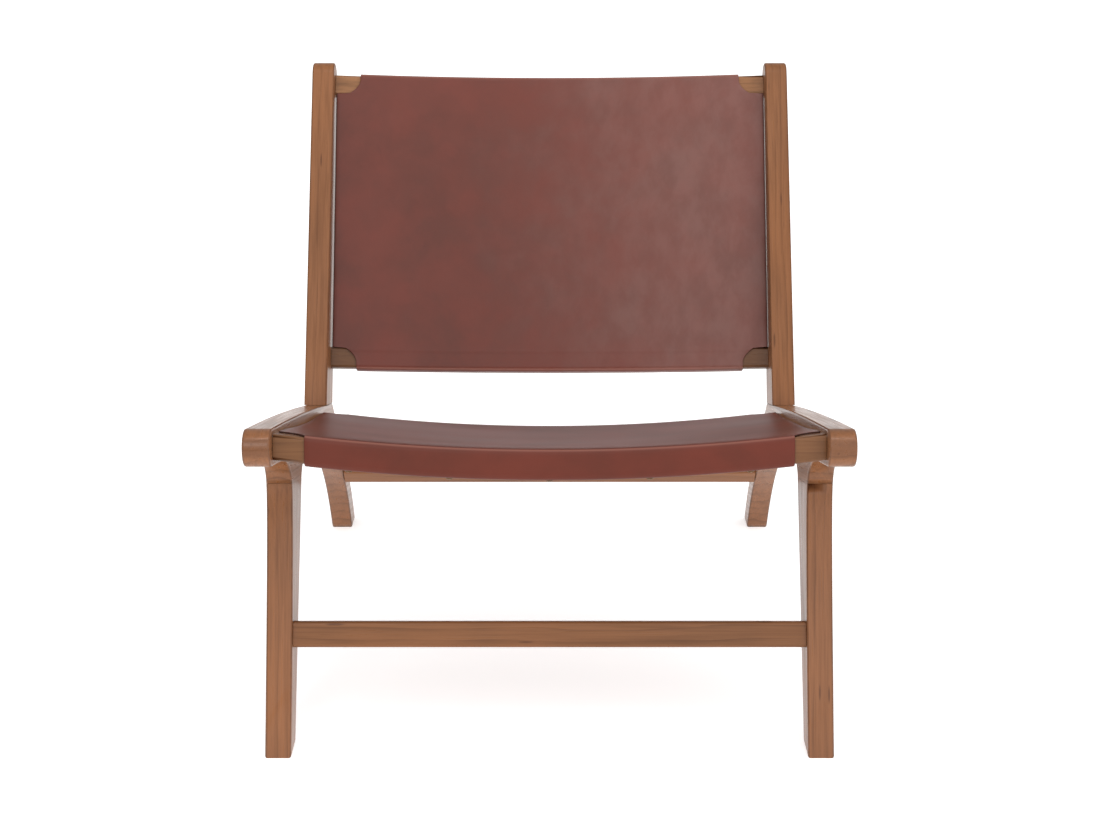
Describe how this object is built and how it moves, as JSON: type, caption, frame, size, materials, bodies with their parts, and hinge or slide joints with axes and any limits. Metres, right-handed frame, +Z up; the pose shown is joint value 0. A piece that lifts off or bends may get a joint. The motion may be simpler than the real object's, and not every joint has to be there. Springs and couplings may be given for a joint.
{
  "type": "leather sling lounge chair",
  "caption": "Low lounge chair with flat timber side frames, bowed cross bars and a leather sling seat and back.",
  "frame": {"origin": "on the floor, below the middle of the chair's width and length", "axes": "+X to the sitter's left, +Y from the front to the back, +Z up"},
  "size_m": [0.65, 0.7862, 0.6902],
  "materials": {
    "wood": "satin",
    "dowel_wood": "matte",
    "leather": "satin",
    "screw": "satin"
  },
  "bodies": {
    "root": {"back_lower_bar": "wood", "back_lower_screw_1": "screw", "back_lower_screw_2": "screw", "back_lower_screw_3": "screw", "back_lower_screw_4": "screw", "back_lower_screw_5": "screw", "back_post_left": "wood", "back_post_right": "wood", "back_sling": "leather", "back_upper_bar": "wood", "back_upper_screw_1": "screw", "back_upper_screw_2": "screw", "back_upper_screw_3": "screw", "back_upper_screw_4": "screw", "back_upper_screw_5": "screw", "front_leg_left": "wood", "front_leg_right": "wood", "front_stretcher": "wood", "leg_dowel_left_1": "dowel_wood", "leg_dowel_left_2": "dowel_wood", "leg_dowel_right_1": "dowel_wood", "leg_dowel_right_2": "dowel_wood", "post_dowel_left_1": "dowel_wood", "post_dowel_left_2": "dowel_wood", "post_dowel_right_1": "dowel_wood", "post_dowel_right_2": "dowel_wood", "rear_stretcher": "wood", "seat_front_bar": "wood", "seat_front_screw_1": "screw", "seat_front_screw_2": "screw", "seat_front_screw_3": "screw", "seat_front_screw_4": "screw", "seat_front_screw_5": "screw", "seat_rear_bar": "wood", "seat_rear_screw_1": "screw", "seat_rear_screw_2": "screw", "seat_rear_screw_3": "screw", "seat_rear_screw_4": "screw", "seat_rear_screw_5": "screw", "seat_sling": "leather", "side_rail_left": "wood", "side_rail_right": "wood"}
  },
  "joints": []
}
